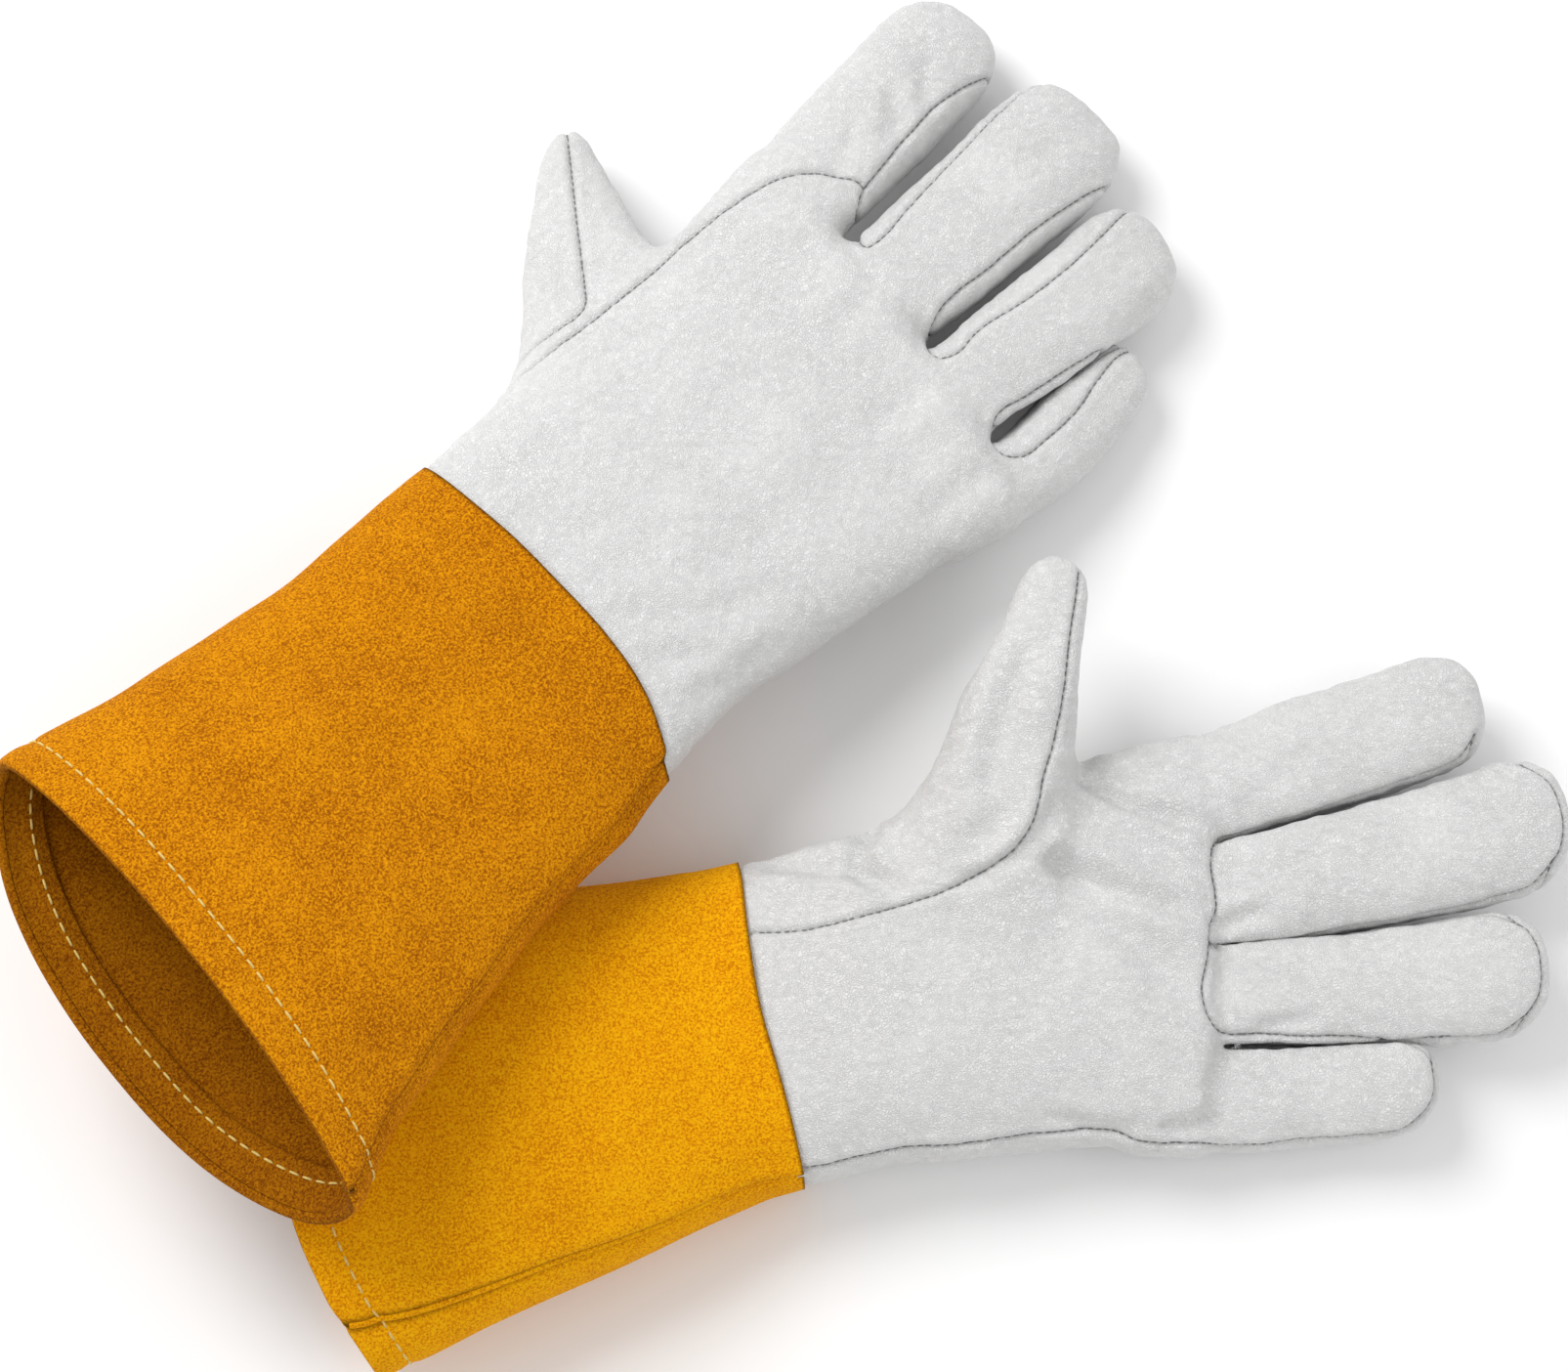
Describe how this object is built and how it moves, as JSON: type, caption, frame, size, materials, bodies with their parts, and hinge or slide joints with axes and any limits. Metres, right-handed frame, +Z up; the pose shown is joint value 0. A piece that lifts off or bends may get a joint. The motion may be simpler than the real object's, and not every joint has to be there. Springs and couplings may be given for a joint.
{
  "type": "pair of welding gloves",
  "caption": "Pair of long-cuff leather welding gloves with goatskin hands and suede gauntlet cuffs, one palm up, the other palm down across it.",
  "frame": {"origin": "middle of the pair's footprint, on the surface the gloves lie on", "axes": "+Z up; the left glove's fingers point 11 degrees from +X towards +Y and the right glove's 42 degrees"},
  "size_m": [0.4273, 0.4054, 0.1085],
  "materials": {
    "goatskin": "matte",
    "suede": "matte",
    "thread": "matte"
  },
  "bodies": {
    "left_cuff": {"left_cuff_back_panel": "suede", "left_cuff_palm_panel": "suede", "left_cuff_hem": "suede", "left_cuff_side_welt": "suede", "left_hem_stitching": "thread", "left_wrist_back": "goatskin", "left_wrist_palm": "goatskin"},
    "left_hand": {"left_back_panel": "goatskin", "left_palm_panel": "goatskin", "left_thumb_base_outer": "goatskin", "left_thumb_base_inner": "goatskin"},
    "left_thumb": {"left_thumb_outer": "goatskin", "left_thumb_inner": "goatskin"},
    "left_index": {"left_index_wrap": "goatskin", "left_index_fourchette": "goatskin"},
    "left_middle": {"left_middle_back": "goatskin", "left_middle_front": "goatskin", "left_middle_fourchettes": "goatskin"},
    "left_ring": {"left_ring_back": "goatskin", "left_ring_front": "goatskin", "left_ring_fourchettes": "goatskin"},
    "left_little": {"left_little_back": "goatskin", "left_little_front": "goatskin", "left_little_fourchette": "goatskin"},
    "right_hand": {"right_back_panel": "goatskin", "right_palm_panel": "goatskin", "right_thumb_base_outer": "goatskin", "right_thumb_base_inner": "goatskin"},
    "right_cuff": {"right_cuff_back_panel": "suede", "right_cuff_palm_panel": "suede", "right_cuff_hem": "suede", "right_cuff_side_welt": "suede", "right_hem_stitching": "thread", "right_wrist_back": "goatskin", "right_wrist_palm": "goatskin"},
    "right_thumb": {"right_thumb_outer": "goatskin", "right_thumb_inner": "goatskin"},
    "right_index": {"right_index_wrap": "goatskin", "right_index_fourchette": "goatskin"},
    "right_middle": {"right_middle_back": "goatskin", "right_middle_front": "goatskin", "right_middle_fourchettes": "goatskin"},
    "right_ring": {"right_ring_back": "goatskin", "right_ring_front": "goatskin", "right_ring_fourchettes": "goatskin"},
    "right_little": {"right_little_back": "goatskin", "right_little_front": "goatskin", "right_little_fourchette": "goatskin"}
  },
  "joints": [
    {"name": "left_wrist_fold", "type": "hinge", "parent": "left_cuff", "child": "left_hand", "pos_m": [0.00981, -0.09698, 0.02828], "axis": [0.1908, -0.9816, 0], "range_deg": [0, 35]},
    {"name": "left_thumb_curl", "type": "hinge", "parent": "left_hand", "child": "left_thumb", "pos_m": [0.05315, -0.02308, 0.04206], "axis": [0.9092, -0.4164, 0], "range_deg": [0, 40]},
    {"name": "left_index_curl", "type": "hinge", "parent": "left_hand", "child": "left_index", "pos_m": [0.12228, -0.03209, 0.01985], "axis": [0.3171, -0.9458, 0.0697], "range_deg": [0, 50]},
    {"name": "left_middle_curl", "type": "hinge", "parent": "left_hand", "child": "left_middle", "pos_m": [0.12225, -0.06417, 0.02043], "axis": [0.2352, -0.9719, 0], "range_deg": [0, 50]},
    {"name": "left_ring_curl", "type": "hinge", "parent": "left_hand", "child": "left_ring", "pos_m": [0.12213, -0.0931, 0.01986], "axis": [0.0793, -0.9969, 0], "range_deg": [0, 50]},
    {"name": "left_little_curl", "type": "hinge", "parent": "left_hand", "child": "left_little", "pos_m": [0.12212, -0.12387, 0.01797], "axis": [0.077, -0.997, 0], "range_deg": [0, 50]},
    {"name": "right_glove_lift", "type": "slide", "parent": "left_cuff", "child": "right_hand", "axis": [0, 0, 1], "range_m": [0, 0.2]},
    {"name": "right_wrist_fold", "type": "hinge", "parent": "right_hand", "child": "right_cuff", "pos_m": [-0.05912, 0.01609, 0.05125], "axis": [-0.6691, 0.7431, 0], "range_deg": [0, 25]},
    {"name": "right_thumb_curl", "type": "hinge", "parent": "right_hand", "child": "right_thumb", "pos_m": [-0.06273, 0.11205, 0.01627], "axis": [-0.9999, -0.0103, 0], "range_deg": [-15, 35]},
    {"name": "right_index_curl", "type": "hinge", "parent": "right_hand", "child": "right_index", "pos_m": [0.00732, 0.14417, 0.01992], "axis": [-0.7743, 0.6328, 0], "range_deg": [-15, 45]},
    {"name": "right_middle_curl", "type": "hinge", "parent": "right_hand", "child": "right_middle", "pos_m": [0.02978, 0.1118, 0.02122], "axis": [-0.686, 0.7202, 0.1037], "range_deg": [-15, 45]},
    {"name": "right_ring_curl", "type": "hinge", "parent": "right_hand", "child": "right_ring", "pos_m": [0.05103, 0.08126, 0.02064], "axis": [-0.6548, 0.7359, 0.1725], "range_deg": [-15, 45]},
    {"name": "right_little_curl", "type": "hinge", "parent": "right_hand", "child": "right_little", "pos_m": [0.06707, 0.05802, 0.01569], "axis": [-0.6334, 0.7546, 0.1714], "range_deg": [-15, 45]}
  ]
}
